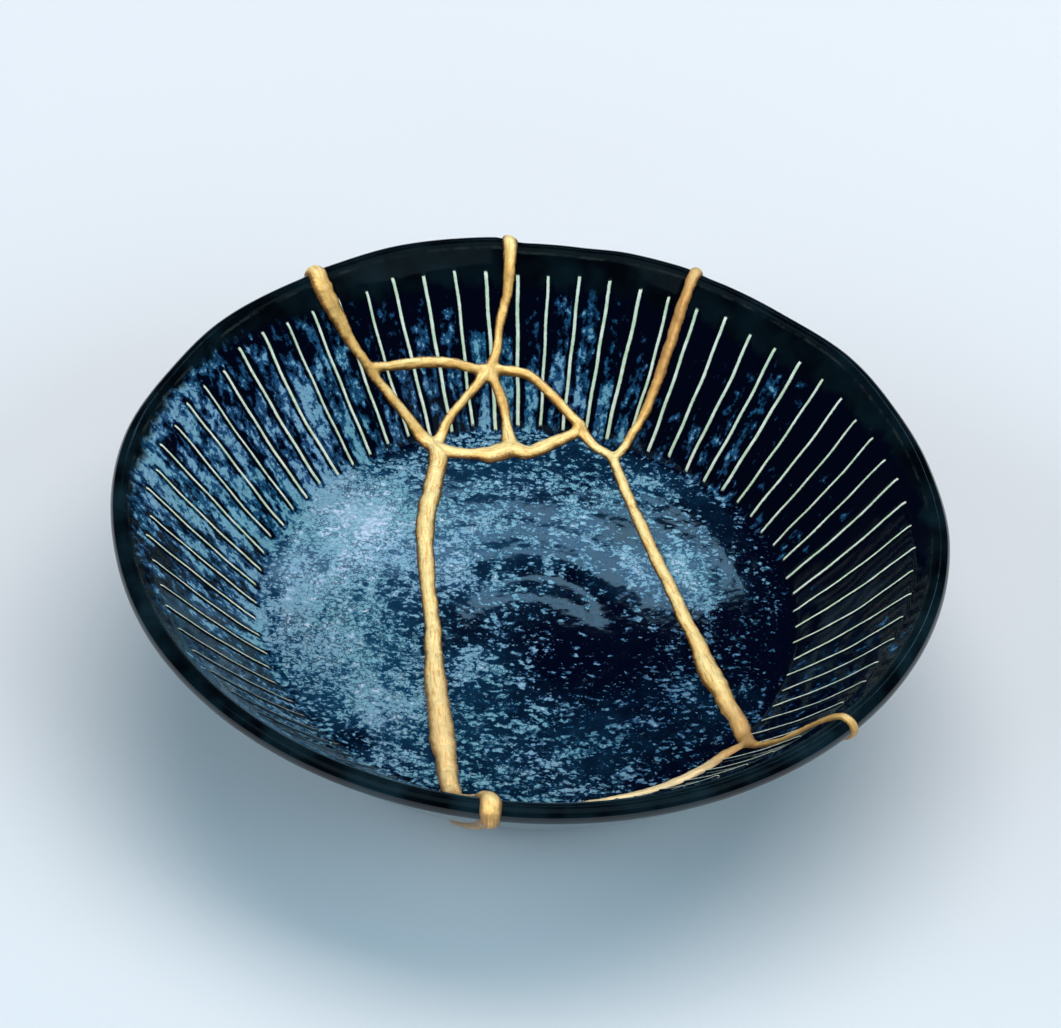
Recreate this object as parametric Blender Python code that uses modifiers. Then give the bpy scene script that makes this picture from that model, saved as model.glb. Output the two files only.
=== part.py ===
"""A kintsugi bowl: nine glazed shards rejoined by one raised seam of lacquer and gold.

Design values are in millimetres. Meshes are made in metres, +Z up, with the origin on the
ground under the middle of the rim. A bearing is in degrees, clockwise from above, from 0 at
the back (+Y) to 90 on the right (+X).
"""

import math

import bmesh
import bpy
from mathutils import Matrix, Vector

MM = 0.001

# Bowl: a dished floor, a wall that sags a little below straight, a rounded lip, a foot ring
RIM_RADIUS = 90.0
HEIGHT = 43.0
WALL = 4.3
FLOOR_RADIUS = 58.8
FLOOR_EDGE_Z = 10.8
FLOOR_DISH = 1.8
FLOOR_ROW_RADIUS = 30.0
STRIPE_TOP_RADIUS = 82.5
STRIPE_TOP_Z = 38.6
WALL_SAG = 0.12
WALL_ROWS = 2
LIP_ANGLES = (135, 80, 20, -35)
RIM_CORNER = 2
RIM_EDGE = RIM_RADIUS - WALL / 2 * (1 - math.cos(math.radians(LIP_ANGLES[RIM_CORNER])))
FOOT = ((45.2, 5.0), (43.6, 0.0), (40.0, 0.0), (38.8, 4.2))
UNDER_CENTRE_Z = 4.4
SLOPE_STEP = 0.1
WELD = 0.01

# Stripes: low ridges of slip down the inside of the wall
STRIPES = 72
FIRST_STRIPE = -5.4
STRIPE_FOOT_RADIUS = 59.6
STRIPE_HEAD_RADIUS = 82.4
STRIPE_WIDTH = 1.3
STRIPE_HEIGHT = 0.35
STRIPE_ROOT = 0.4
STRIPE_SLANT = 0.5
SHORTEST_BODY = 3.0

# Breaks: the cracks cut through the bowl, in straight stretches
BREAK_WIDTH = 1.2
BREAK_PAST_END = 0.5
LONGEST_STRETCH = 13.0

# Seam: a web of lacquer through each crack, under a domed bead on each face
GAP = 0.3
WEB_WIDTH = 0.6
WEB_PAST_END = 0.25
WEB_END_RADIUS = 88.3
FLATTEST = 0.5
BEAD_GAP = 0.35
BEAD_RISE = 0.32
BEAD_SIDES = 3
BEAD_PAST_END = 0.8
OUTSIDE_GAP = 0.6
OUTSIDE_SHARE = 0.7
CLEAR_OF_FOOT = 2.4
LAID_OVER = 0.02
SLIGHT_BEND = math.radians(2)
SHARP_BEND = math.radians(10)
CLOSEST = 0.15
CLOSE = 0.01

# Above this angle an edge stays crisp
SHARP_ANGLE = math.radians(35)

# How the rejoined shards and the thrown wall leave the true circle
FLOOR_SHIFT = 1.5
RIM_WAVE = (
    (-180, 0.0), (-125, 0.1), (-104, -0.3), (-82, 0.2), (-67, -0.6), (-54, 0.1),
    (-40, -0.3), (-35, 0.5), (-22, 1.5), (-9, 1.3), (-4, -0.8), (4, -0.8), (12, 0.2),
    (20, 0.3), (25, -0.6), (37, -0.9), (50, 0.2), (64, -0.6), (75, -0.5), (90, 0.2), (180, 0.0),
)  # fmt: skip

# Where the breaks meet: bearing, radius, bead width
MEET_LEFT = (-25.5, 56.2, 3.4)
MEET_TOP = (-10.8, 68.2, 2.2)
MEET_MIDDLE = (-7.3, 52.6, 4.6)
MEET_RIGHT = (8.6, 60.2, 2.6)
MEET_BRANCH = (17.8, 54.3, 2.2)
MEET_FRONT = (128.3, 62.3, 3.0)
MEET_NEAR = (191.5, 60.2, 3.8)
MEET_CHIP = (-33.8, 71.6, 2.4)

# Each break runs from its first point to its last; one that ends at the rim's edge goes over it
BREAKS = {
    "left_rim": (MEET_LEFT, (-29.8, 63.5, 2.4), MEET_CHIP, (-37.0, STRIPE_TOP_RADIUS, 4.3),
                 (-36.9, RIM_EDGE, 4.2)),
    "back_rim": (MEET_TOP, (-8.5, 74.5, 1.9), (-6.6, STRIPE_TOP_RADIUS, 2.8), (-6.3, RIM_EDGE, 3.3)),
    "chip_top": (MEET_CHIP, (-23.8, 70.4, 2.4), (-14.4, 68.5, 2.0), MEET_TOP),
    "chip_side": (MEET_TOP, (-18.4, 62.5, 2.0), MEET_LEFT),
    "chip_middle": (MEET_TOP, (-8.5, 61.5, 2.4), MEET_MIDDLE),
    "chip_right": (MEET_TOP, (0.1, 65.7, 2.4), MEET_RIGHT),
    "floor_back": (MEET_LEFT, (-20.0, 52.2, 3.2), MEET_MIDDLE, (0.5, 53.8, 3.6), MEET_RIGHT),
    "floor_left": (MEET_LEFT, (-26.7, 51.3, 4.0), (-45.3, 34.3, 3.9), (-83.2, 22.0, 3.0),
                   (-137.8, 28.0, 4.0), (-158.9, 43.5, 4.8), MEET_NEAR, (-173.2, 70.6, 3.6),
                   (-178.2, STRIPE_TOP_RADIUS, 4.2), (-178.4, RIM_EDGE, 4.2)),
    "floor_right": (MEET_RIGHT, MEET_BRANCH, (25.2, 46.6, 2.4), (56.6, 34.0, 2.8), (86.8, 34.7, 3.0),
                    (109.9, 43.1, 4.5), (122.3, 55.9, 3.8), MEET_FRONT),
    "right_rim": (MEET_BRANCH, (21.6, 70.6, 2.2), (22.0, STRIPE_TOP_RADIUS, 2.6), (22.1, RIM_EDGE, 2.8)),
    "front_rim": (MEET_FRONT, (131.6, 70.6, 2.0), (131.6, 78.5, 2.0),
                  (130.0, STRIPE_TOP_RADIUS, 2.0), (129.8, RIM_EDGE, 2.6)),
    "front_wall": (MEET_FRONT, (131.9, 60.2, 2.0), (144.0, 60.8, 1.8), (156.0, 58.8, 1.6),
                   (172.0, 59.0, 1.6), MEET_NEAR),
}  # fmt: skip

# A point of each shard's inner face: bearing, radius
SHARDS = {
    "shard_left": (-100, 70),
    "shard_back_left": (-22, 80),
    "shard_back_right": (8, 78),
    "shard_right": (80, 70),
    "shard_front_right": (155, 75),
    "shard_floor": (0, 20),
    "chip_upper": (-24, 66),
    "chip_lower_left": (-13, 58),
    "chip_lower_right": (-1, 59),
}


def inner_height(radius):
    """Height of the inner surface from the middle of the floor to the top of the stripes."""
    if radius <= FLOOR_RADIUS:
        return FLOOR_EDGE_Z - FLOOR_DISH * (1 - (radius / FLOOR_RADIUS) ** 2)
    u = (radius - FLOOR_RADIUS) / (STRIPE_TOP_RADIUS - FLOOR_RADIUS)
    return FLOOR_EDGE_Z + (STRIPE_TOP_Z - FLOOR_EDGE_Z) * (u - WALL_SAG * u * (1 - u))


def wall_radii():
    step = (STRIPE_TOP_RADIUS - FLOOR_RADIUS) / WALL_ROWS
    return [FLOOR_RADIUS + step * i for i in range(WALL_ROWS + 1)]


def lip_arc():
    """The rounded lip, from its inner shoulder over the top to the outside."""
    half = WALL / 2
    centre = Vector((RIM_RADIUS - half, HEIGHT - half))
    turns = [math.radians(a) for a in LIP_ANGLES]
    return [(centre.x + half * math.cos(a), centre.y + half * math.sin(a)) for a in turns]


def inner_outline():
    radii = [0.0, FLOOR_ROW_RADIUS, *wall_radii()]
    return [(r, inner_height(r)) for r in radii]


def outer_outline():
    """The outside, downwards: the wall a constant thickness from the inner face, then the foot."""
    points = []
    for r in reversed(wall_radii()):
        rise = (inner_height(r + SLOPE_STEP) - inner_height(r)) / SLOPE_STEP
        away = Vector((rise, -1)).normalized() * WALL
        points.append((r + away.x, inner_height(r) + away.y))
    return [*points, *FOOT, (0.0, UNDER_CENTRE_Z)]


def smoothstep(t):
    return t * t * (3 - 2 * t)


def rim_wave(bearing):
    """How far the rim stands out from its circle at a bearing from -180 to 180."""
    for (b0, out0), (b1, out1) in zip(RIM_WAVE, RIM_WAVE[1:]):
        if b0 <= bearing <= b1:
            return out0 + (out1 - out0) * smoothstep((bearing - b0) / (b1 - b0))
    return 0.0


def settled(point):
    """Where a point of the true round bowl lies on the rejoined one. Takes and gives metres."""
    x, y, z = point / MM
    radius = math.hypot(x, y)
    share = z / HEIGHT
    if radius > 0:
        out = rim_wave(math.degrees(math.atan2(x, y))) * smoothstep(min(max(share, 0), 1))
        grow = 1 + out / RIM_RADIUS * min(radius / FLOOR_RADIUS, 1)
        x, y = x * grow, y * grow
    return Vector((x + FLOOR_SHIFT * (1 - share), y, z)) * MM


# Building blocks


def collection(name):
    made = bpy.data.collections.new(name)
    bpy.context.scene.collection.children.link(made)
    return made


def add_object(name, mesh, home):
    obj = bpy.data.objects.new(name, mesh)
    home.objects.link(obj)
    return obj


def add_bmesh(name, bm, home):
    bmesh.ops.recalc_face_normals(bm, faces=bm.faces)
    mesh = bpy.data.meshes.new(name)
    bm.to_mesh(mesh)
    bm.free()
    return add_object(name, mesh, home)


def as_cutter(obj):
    obj.hide_render = True
    obj.display_type = "WIRE"
    return obj


def with_modifiers_applied(obj):
    """The object with its modifiers turned into mesh."""
    bpy.context.view_layer.update()
    mesh = bpy.data.meshes.new_from_object(obj.evaluated_get(bpy.context.evaluated_depsgraph_get()))
    obj.modifiers.clear()
    old, obj.data = obj.data, mesh
    bpy.data.meshes.remove(old)
    return obj


def combine(obj, operation, others, solver="EXACT"):
    """Cuts others from obj, or joins them to it, one Boolean each."""
    for other in others:
        boolean = obj.modifiers.new(other.name, "BOOLEAN")
        boolean.operation = operation
        boolean.solver = solver
        boolean.object = other
    return with_modifiers_applied(obj)


def make_material(name, colour, roughness, metallic):
    material = bpy.data.materials.new(name)
    material.use_nodes = True
    shader = material.node_tree.nodes["Principled BSDF"]
    shader.inputs["Base Color"].default_value = (*colour, 1)
    shader.inputs["Roughness"].default_value = roughness
    shader.inputs["Metallic"].default_value = metallic
    return material


# The bowl before it broke


def plan(bearing, radius):
    turn = math.radians(bearing)
    return Vector((radius * math.sin(turn), radius * math.cos(turn)))


def make_bowl(home):
    """The turned bowl, its facets centred on the stripes."""
    outline = [*inner_outline(), *lip_arc(), *outer_outline()]
    bm = bmesh.new()
    verts = [bm.verts.new(Vector((r, 0, z)) * MM) for r, z in outline]
    for a, b in zip(verts, verts[1:]):
        bm.edges.new((a, b))
    bowl = add_bmesh("bowl", bm, home)
    screw = bowl.modifiers.new("turn", "SCREW")
    screw.steps = screw.render_steps = STRIPES
    screw.use_merge_vertices = True
    screw.merge_threshold = WELD * MM
    with_modifiers_applied(bowl)
    half_step = 180 / STRIPES
    bowl.data.transform(Matrix.Rotation(-math.radians(FIRST_STRIPE + half_step), 4, "Z"))
    return bowl


def add_loft(bm, sections):
    """Skins a run of equal closed sections and closes both ends."""
    rings = [[bm.verts.new(point * MM) for point in section] for section in sections]
    for near, far in zip(rings, rings[1:]):
        for i in range(len(near)):
            j = (i + 1) % len(near)
            bm.faces.new((near[i], near[j], far[j], far[i]))
    bm.faces.new(reversed(rings[0]))
    bm.faces.new(rings[-1])


def stripe_sections(bearing):
    """Cross-sections of one ridge, from the floor's edge to the top of the stripe."""
    turn = math.radians(bearing)
    outward = Vector((math.sin(turn), math.cos(turn), 0))
    across = Vector((math.cos(turn), -math.sin(turn), 0))
    radii = [STRIPE_FOOT_RADIUS, *wall_radii()[1:-1], STRIPE_HEAD_RADIUS]
    slants = [STRIPE_SLANT, *[0] * (len(radii) - 2), -STRIPE_SLANT]
    for radius, slant in zip(radii, slants):
        rise = inner_height(radius + SLOPE_STEP) - inner_height(radius - SLOPE_STEP)
        along = (outward + Vector((0, 0, rise / (2 * SLOPE_STEP)))).normalized()
        up = along.cross(across).normalized()
        if up.z < 0:
            up.negate()
        middle = outward * radius + Vector((0, 0, inner_height(radius)))
        crest = middle + up * STRIPE_HEIGHT + along * slant
        root = middle - up * STRIPE_ROOT
        yield [root - across * STRIPE_WIDTH / 2, crest, root + across * STRIPE_WIDTH / 2]


def drop_short_pieces(obj, shortest):
    """Deletes loose bodies of the mesh that are shorter than a length in millimetres."""
    bm = bmesh.new()
    bm.from_mesh(obj.data)
    for body in loose_bodies(bm):
        heights = [v.co.z for v in body]
        if max(heights) - min(heights) < shortest * MM:
            bmesh.ops.delete(bm, geom=body, context="VERTS")
    bm.to_mesh(obj.data)
    bm.free()


def loose_bodies(bm):
    """The vertices of each connected body of a bmesh."""
    left = set(bm.verts)
    bodies = []
    while left:
        body, todo = [], [left.pop()]
        while todo:
            vert = todo.pop()
            body.append(vert)
            for edge in vert.link_edges:
                other = edge.other_vert(vert)
                if other in left:
                    left.remove(other)
                    todo.append(other)
        bodies.append(body)
    return bodies


def make_stripes(home, corridors):
    """Every ridge, stopped short of the gold."""
    bm = bmesh.new()
    for k in range(STRIPES):
        add_loft(bm, list(stripe_sections(FIRST_STRIPE + 360 / STRIPES * k)))
    stripes = as_cutter(add_bmesh("stripes", bm, home))
    combine(stripes, "DIFFERENCE", corridors)
    drop_short_pieces(stripes, SHORTEST_BODY)
    return stripes


# The breaks


def smooth_line(points):
    """Plan x, y and bead width along a break: a smooth curve through its points, as straight stretches."""
    marks = [Vector((*plan(bearing, radius), width)) for bearing, radius, width in points]
    before, after = 2 * marks[0] - marks[1], 2 * marks[-1] - marks[-2]
    padded = [before, *marks, after]
    line = [marks[0]]
    for p0, p1, p2, p3 in zip(padded, padded[1:], padded[2:], padded[3:]):
        count = math.ceil((p2 - p1).xy.length / LONGEST_STRETCH)
        for i in range(1, count + 1):
            t = i / count
            bend = (2 * p0 - 5 * p1 + 4 * p2 - p3) * t**2 + (3 * p1 - p0 - 3 * p2 + p3) * t**3
            line.append(p1 + 0.5 * ((p2 - p0) * t + bend))
    return line


def lengthened(line, at_start, at_end):
    """The line drawn out straight past its two ends."""
    longer = [point.copy() for point in line]
    longer[0].xy += (line[0] - line[1]).xy.normalized() * at_start
    longer[-1].xy += (line[-1] - line[-2]).xy.normalized() * at_end
    return longer


def share_at_radius(start, end, radius):
    """Where a straight stretch crosses a circle about the axis, as shares of its length."""
    step = end - start
    a, b = step.dot(step), start.dot(step)
    inside = b * b - a * (start.dot(start) - radius * radius)
    if inside <= 0:
        return []
    roots = [(-b - math.sqrt(inside)) / a, (-b + math.sqrt(inside)) / a]
    return [root for root in roots if 0 < root < 1]


def with_crossings(line, radii, nearest):
    """The line with a station wherever it crosses one of the radii, if no nearer to another than given."""
    stations = [line[0]]
    for start, end in zip(line, line[1:]):
        shares = sorted(s for radius in radii for s in share_at_radius(start.xy, end.xy, radius))
        for point in [start.lerp(end, s) for s in shares]:
            if min((point - start).xy.length, (point - end).xy.length) > nearest:
                stations.append(point)
        stations.append(end)
    return stations


def make_upright_sheet(name, edges, width, home):
    """A ribbon of constant width, standing between a low and a high point at each station of its line."""
    bm = bmesh.new()
    pairs = [(bm.verts.new(low * MM), bm.verts.new(high * MM)) for low, high in edges]
    for (low0, high0), (low1, high1) in zip(pairs, pairs[1:]):
        bm.faces.new((low0, low1, high1, high0))
    sheet = as_cutter(add_bmesh(name, bm, home))
    solidify = sheet.modifiers.new("width", "SOLIDIFY")
    solidify.thickness = width * MM
    solidify.offset = 0
    solidify.use_even_offset = True
    return with_modifiers_applied(sheet)


def make_ribbon(name, route, width, home):
    """A cutter through the whole height of the bowl along a break, a little longer than it at both ends."""
    line = lengthened(route, BREAK_PAST_END, BREAK_PAST_END)
    edges = [(Vector((*s.xy, -HEIGHT)), Vector((*s.xy, 2 * HEIGHT))) for s in line]
    return make_upright_sheet(name, edges, width, home)


# The seam


def two_faces():
    """The outline parted at the rim's edge, into the inside and the outside."""
    lip = lip_arc()
    return [*inner_outline(), *lip[: RIM_CORNER + 1]], [*lip[RIM_CORNER:], *outer_outline()]


def corner_radii(outline, bend):
    """Radii where an outline turns by more than an angle."""
    steps = [Vector(there) - Vector(here) for here, there in zip(outline, outline[1:])]
    turns = [abs(before.angle_signed(after)) for before, after in zip(steps, steps[1:])]
    return [radius for (radius, _), turn in zip(outline[1:], turns) if turn > bend]


def face_at(outline, radius):
    """Height of an outline at a radius, and its outward normal, longer at a corner for parallel offsets."""
    for (r0, z0), (r1, z1) in zip(outline, outline[1:]):
        if min(r0, r1) - CLOSE <= radius <= max(r0, r1) + CLOSE and r0 != r1:
            height = z0 + (z1 - z0) * (radius - r0) / (r1 - r0)
            return height, corner_normal(outline, radius) or Vector((z0 - z1, r1 - r0)).normalized()
    raise ValueError(f"the outline doesn't reach radius {radius}")


def corner_normal(outline, radius):
    """The outward normal of the corner at a radius, if the outline has one there."""
    for (r0, z0), (r1, z1), (r2, z2) in zip(outline, outline[1:], outline[2:]):
        if abs(radius - r1) < CLOSE:
            before = Vector((z0 - z1, r1 - r0)).normalized()
            after = Vector((z1 - z2, r2 - r1)).normalized()
            middle = (before + after).normalized()
            return middle / middle.dot(before)
    return None


def on_face(outline, spot):
    """The 3-D point of a plan spot on the inside or the outside, with its normal."""
    radius = min(spot.length, RIM_EDGE)
    height, normal = face_at(outline, radius)
    outward = spot.normalized()
    return Vector((*(outward * radius), height)), Vector((*(outward * normal.x), normal.y))


def bead_sections(stations, lift):
    """Domed cross-sections along a run of (outline, gap, station), draped on the glaze over their gap."""
    centres = [on_face(outline, station.xy) for outline, _, station in stations]
    for i, (outline, gap, station) in enumerate(stations):
        along = centres[min(i + 1, len(centres) - 1)][0] - centres[max(i - 1, 0)][0]
        point, normal = centres[i]
        across = along.cross(normal).normalized()
        section = []
        for k in range(BEAD_SIDES + 1):
            turn = math.pi * k / BEAD_SIDES
            spot = point + across * station.z / 2 * math.cos(turn)
            base, away = on_face(outline, spot.xy)
            section.append(base + away * (gap + lift + station.z * BEAD_RISE * math.sin(turn)))
        yield section


def skin_runs(route, crosses_rim):
    """The runs of a bead: over the inside, then over the rim and the outside, and none on the foot."""
    inside, outside = two_faces()
    near_foot = (FOOT[0][0] + CLEAR_OF_FOOT, FOOT[-1][0] - CLEAR_OF_FOOT)
    inner_radii = corner_radii(inside, SLIGHT_BEND)
    inner_run = [(inside, BEAD_GAP, s) for s in with_crossings(route, inner_radii, CLOSEST)]
    outer_radii = [r for r in corner_radii(outside, SLIGHT_BEND) if r > near_foot[0]] + list(near_foot)
    outer_runs = [[]]
    for s in reversed(with_crossings(route, outer_radii, CLOSEST)):
        radius = s.xy.length
        if near_foot[1] + CLOSE < radius < near_foot[0] - CLOSE:
            outer_runs.append([])
        elif radius > outside[2][0] - CLOSE:
            outer_runs[-1].append((outside, BEAD_GAP, s))
        else:
            narrowed = Vector((*s.xy, s.z * OUTSIDE_SHARE))
            outer_runs[-1].append((outside, OUTSIDE_GAP, narrowed))
    if crosses_rim:
        first = outer_runs.pop(0)
        inner_run += first[1:]
    return [inner_run, *[run for run in outer_runs if len(run) > 1]]


def web_edges(route):
    """Low and high points of the web along a break, ending inside the beads, or inside the foot."""
    inside, outside = two_faces()
    radii = [*corner_radii(inside, SLIGHT_BEND), *corner_radii(outside, SHARP_BEND)]
    for s in with_crossings(route, radii, CLOSEST):
        if s.xy.length > WEB_END_RADIUS:
            continue
        reach = GAP + s.z * BEAD_RISE / 2
        high, up = on_face(inside, s.xy)
        low, down = on_face(outside, s.xy)
        high.z += reach / max(up.z, FLATTEST)
        low.z = max(low.z - reach / max(-down.z, FLATTEST), GAP)
        yield low, high


def make_seam(routes, home, helpers):
    """Every bead and web joined into one body."""
    pieces = []
    for index, (name, route) in enumerate(routes.items()):
        crosses_rim = BREAKS[name][-1][1] == RIM_EDGE
        bead_line = lengthened(route, BEAD_PAST_END, 0 if crosses_rim else BEAD_PAST_END)
        web_line = lengthened(route, WEB_PAST_END, WEB_PAST_END)
        for k, run in enumerate(skin_runs(bead_line, crosses_rim)):
            bm = bmesh.new()
            add_loft(bm, list(bead_sections(run, index * LAID_OVER)))
            pieces.append(as_cutter(add_bmesh(f"bead_{name}_{k}", bm, helpers)))
        pieces.append(make_upright_sheet(f"web_{name}", web_edges(web_line), WEB_WIDTH, helpers))
    seam = add_object("gold_seam", pieces[0].data.copy(), home)
    combine(seam, "UNION", pieces[1:], "MANIFOLD")
    drop_short_pieces(seam, SHORTEST_BODY)
    return seam


# Assembly


def split_into_shards(broken, home):
    """Each loose body of the cut bowl as an object named after the mark that lies on it."""
    bm = bmesh.new()
    bm.from_mesh(broken.data)
    bodies = loose_bodies(bm)
    shards = []
    for name, (bearing, radius) in SHARDS.items():
        mark = Vector((*plan(bearing, radius), inner_height(radius))) * MM
        body = min(bodies, key=lambda b: min((v.co - mark).length for v in b))
        kept = {v.index for v in body}
        shard = bm.copy()
        bmesh.ops.delete(shard, geom=[v for v in shard.verts if v.index not in kept], context="VERTS")
        shards.append(add_bmesh(name, shard, home))
    bm.free()
    return shards


def finish(obj, material):
    """Moves the object's points to where they lie on the rejoined bowl, and gives it its material."""
    for vert in obj.data.vertices:
        vert.co = settled(vert.co)
    obj.data.materials.clear()
    obj.data.materials.append(material)
    obj.data.shade_smooth()
    obj.data.set_sharp_from_angle(angle=SHARP_ANGLE)


def main():
    for obj in list(bpy.data.objects):
        bpy.data.objects.remove(obj)
    home = collection("kintsugi_bowl")
    helpers = collection("cutters")
    helpers.hide_render = True
    routes = {name: smooth_line(points) for name, points in BREAKS.items()}
    corridors = [
        make_ribbon(f"corridor_{name}", route, max(s.z for s in route) + 2 * GAP, helpers)
        for name, route in routes.items()
    ]
    cracks = [
        make_ribbon(f"break_{name}", route, BREAK_WIDTH, helpers) for name, route in routes.items()
    ]
    bowl = as_cutter(make_bowl(helpers))
    combine(bowl, "UNION", [make_stripes(helpers, corridors)])
    combine(bowl, "DIFFERENCE", cracks)
    shards = split_into_shards(bowl, home)
    seam = make_seam(routes, home, helpers)
    glaze = make_material("navy_glaze", (0.02, 0.045, 0.10), 0.15, 0.0)
    gold = make_material("gold_lacquer", (0.78, 0.50, 0.18), 0.32, 1.0)
    for shard in shards:
        finish(shard, glaze)
    finish(seam, gold)


main()
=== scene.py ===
# %% [markdown]
# # A mended bowl, from frame to finish
# A kintsugi bowl is a broken bowl whose shards are glued back with lacquer, and the lacquer is
# dusted with gold. Here the packed model gives nine plain shards and one seam, and each is
# replaced by a finer piece: fired glaze with stripes of slip, and a hand-laid bead of gold.

# %% Load the frame
import math

import bmesh
import bpy
import numpy as np
from mathutils import Matrix, Vector, noise


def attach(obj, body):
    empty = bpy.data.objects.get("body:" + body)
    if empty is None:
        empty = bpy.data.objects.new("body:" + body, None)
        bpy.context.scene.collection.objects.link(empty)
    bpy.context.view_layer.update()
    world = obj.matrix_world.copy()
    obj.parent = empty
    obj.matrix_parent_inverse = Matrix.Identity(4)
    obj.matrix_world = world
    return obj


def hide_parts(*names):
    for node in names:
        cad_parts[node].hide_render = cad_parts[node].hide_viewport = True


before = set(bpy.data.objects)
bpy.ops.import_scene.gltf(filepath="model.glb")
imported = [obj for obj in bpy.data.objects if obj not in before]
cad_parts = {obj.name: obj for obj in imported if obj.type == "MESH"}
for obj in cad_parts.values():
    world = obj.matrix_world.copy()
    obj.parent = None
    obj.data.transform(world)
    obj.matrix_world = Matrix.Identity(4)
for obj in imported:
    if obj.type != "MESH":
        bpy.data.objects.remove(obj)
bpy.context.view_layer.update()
MM = 0.001

# %% [markdown]
# The camera comes first, because it decides what has to be finished best. It stands well back
# with a long lens, looks down at 43 degrees and is rolled a little, so that the rim drops to
# the right. The roll and the small tilt of the aim turn the camera about its own axes.

# %% Camera
AIM = Vector((0, 0, 43 * MM))
ELEVATION, DISTANCE, ROLL = math.radians(42.94), 824.6 * MM, math.radians(4.71)
FOCAL_PX, PICTURE_WIDTH, AIM_UP_PX = 3860, 1061, 11.4

forward = Vector((0, math.cos(ELEVATION), -math.sin(ELEVATION)))
right = Vector((1, 0, 0))
place = AIM - forward * DISTANCE
tip = Matrix.Rotation(-math.atan(AIM_UP_PX / FOCAL_PX), 3, right)
ahead = tip @ forward
turn = Matrix.Rotation(ROLL, 3, -ahead)
axes = [turn @ right, turn @ right.cross(ahead), -ahead]
camera = bpy.data.objects.new("camera", bpy.data.cameras.new("camera"))
camera.data.lens = FOCAL_PX / PICTURE_WIDTH * camera.data.sensor_width
camera.data.clip_end = 50
camera.matrix_world = Matrix.Translation(place) @ Matrix(axes).transposed().to_4x4()
bpy.context.scene.collection.objects.link(camera)
bpy.context.scene.camera = camera
print("camera at, mm:", [round(c / MM) for c in place], "lens", round(camera.data.lens, 1))

# %% [markdown]
# A thrown bowl is one outline turned about an axis. The outline is worked out as the potter
# makes it: a dished floor, a wall that sags a little, a rounded lip, a wall of even thickness
# and a turned foot. `inner_height` blends floor into wall, as wet clay has no sharp corner.

# %% The potter's measures
RIM_RADIUS, HEIGHT, WALL = 89.8, 43.0, 4.3
FLOOR_RADIUS, FLOOR_EDGE_Z, FLOOR_DISH = 58.8, 10.8, 1.8
STRIPE_TOP_RADIUS, STRIPE_TOP_Z, WALL_SAG = 82.5, 38.6, 0.12
CREASE = 0.8
LIP_HALF = WALL / 2
FOOT = ((45.2, 5.0), (43.6, 0.0), (40.0, 0.0), (38.8, 4.2), (0.0, 4.4))


def inner_height(r):
    """Height of the inner face: the higher of floor and wall, with the crease filled."""
    floor = FLOOR_EDGE_Z - FLOOR_DISH * (1 - (r / FLOOR_RADIUS) ** 2)
    u = (r - FLOOR_RADIUS) / (STRIPE_TOP_RADIUS - FLOOR_RADIUS)
    wall = FLOOR_EDGE_Z + (STRIPE_TOP_Z - FLOOR_EDGE_Z) * (u - WALL_SAG * u * (1 - u))
    return (floor + wall + np.sqrt((floor - wall) ** 2 + CREASE**2)) / 2


print("rim", 2 * RIM_RADIUS, "mm across, floor", 2 * FLOOR_RADIUS, "mm across")

# %% [markdown]
# Some helpers serve everywhere. `plan` turns a bearing, clockwise from the back, and a radius
# into x and y. `spaced` walks along a line of points and takes a row of values at every step.

# %% Going round and going along
def plan(bearing, r):
    """Plan x and y of a bearing in degrees and a radius."""
    return r * np.sin(np.radians(bearing)), r * np.cos(np.radians(bearing))


def from_axis(points):
    """How far points are from the bowl's axis."""
    return np.hypot(points[:, 0], points[:, 1])


def unit(vectors):
    """The same directions, one unit long."""
    return vectors / np.linalg.norm(vectors, axis=-1, keepdims=True)


def spaced(points, rows, step):
    """Rows that belong to points, at an even spacing along them, and the distances gone."""
    gone = np.r_[0, np.cumsum(np.linalg.norm(np.diff(points, axis=0), axis=1))]
    at = np.linspace(0, gone[-1], max(int(gone[-1] / step), 2) + 1)
    return np.column_stack([np.interp(at, gone, column) for column in rows.T]), at


print("the rim's point at 90 degrees:", np.round(plan(90, RIM_RADIUS), 1))

# %% [markdown]
# The pieces of the outline are strung together, spaced evenly and softened over half a
# millimetre, as a sponge does on wet clay. `skin` then answers every later question: at a
# distance along the skin from the top of the lip, negative inside and positive outside, it
# gives radius, height and the direction that the surface faces.

# %% The outline
inner_r = np.linspace(0, STRIPE_TOP_RADIUS, 330)
inside = np.column_stack([inner_r, inner_height(inner_r)])
arc = np.radians(np.linspace(135, -35, 40))
lip = np.column_stack([np.cos(arc), np.sin(arc)]) * LIP_HALF + (RIM_RADIUS - LIP_HALF, HEIGHT - LIP_HALF)
wall_r = np.linspace(STRIPE_TOP_RADIUS, FLOOR_RADIUS + 1, 100)
slope = (inner_height(wall_r + 0.1) - inner_height(wall_r - 0.1)) / 0.2
away = np.column_stack([slope, -np.ones_like(slope)]) / np.hypot(slope, 1)[:, None]
outside = np.column_stack([wall_r, inner_height(wall_r)]) + away * WALL

STEP, SOFTEN = 0.2, 2.5
string = np.vstack([inside, lip, outside, FOOT])
line, _ = spaced(string, string, STEP)
kernel = np.exp(-0.5 * (np.arange(-8, 9) / SOFTEN) ** 2)
kernel /= kernel.sum()
padded = np.pad(line, ((8, 8), (0, 0)), mode="reflect", reflect_type="odd")
line = np.column_stack([np.convolve(padded[:, i], kernel, mode="valid") for i in range(2)])
line[[0, -1], 0] = 0

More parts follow.
